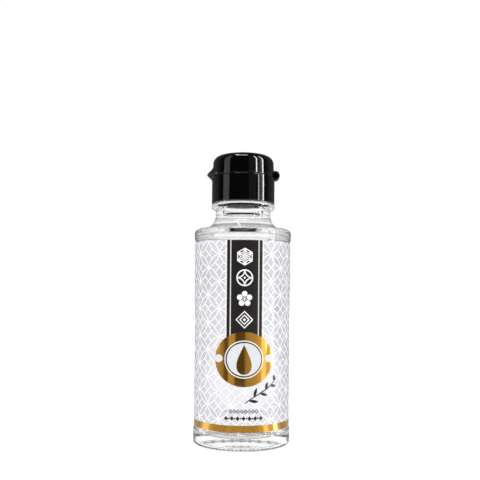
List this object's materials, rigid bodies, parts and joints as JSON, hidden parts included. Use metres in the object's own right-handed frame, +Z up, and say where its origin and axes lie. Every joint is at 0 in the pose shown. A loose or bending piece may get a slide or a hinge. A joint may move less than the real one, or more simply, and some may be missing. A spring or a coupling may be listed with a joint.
{
  "type": "soy sauce bottle",
  "caption": "Small clear glass table bottle filled with clear soy sauce, with a printed film label and a black flip-top cap that has a thumb tab and a strap hinge.",
  "frame": {"origin": "middle of the base, on the surface that the bottle stands on", "axes": "+Z up along the bottle's axis, the front of the label faces -Y, the thumb tab points to -X and the hinge to +X"},
  "size_m": [0.0442, 0.0442, 0.1306],
  "materials": {
    "clear_glass": "smooth clear moulded glass",
    "clear_sauce": "clear, almost colourless liquid",
    "clear_film": "thin clear film with a white lattice print",
    "black_ink": "brown-black print under a satin film",
    "gold_foil": "bright gold foil print",
    "black_plastic": "glossy moulded black plastic"
  },
  "bodies": {
    "root": {"glass_bottle": "clear_glass", "soy_sauce": "clear_sauce", "label_film": "clear_film", "label_strip": "black_ink", "label_medallion": "gold_foil", "label_band": "gold_foil", "cap_base": "black_plastic", "cap_lid": "black_plastic", "cap_hinge": "black_plastic"}
  },
  "joints": []
}
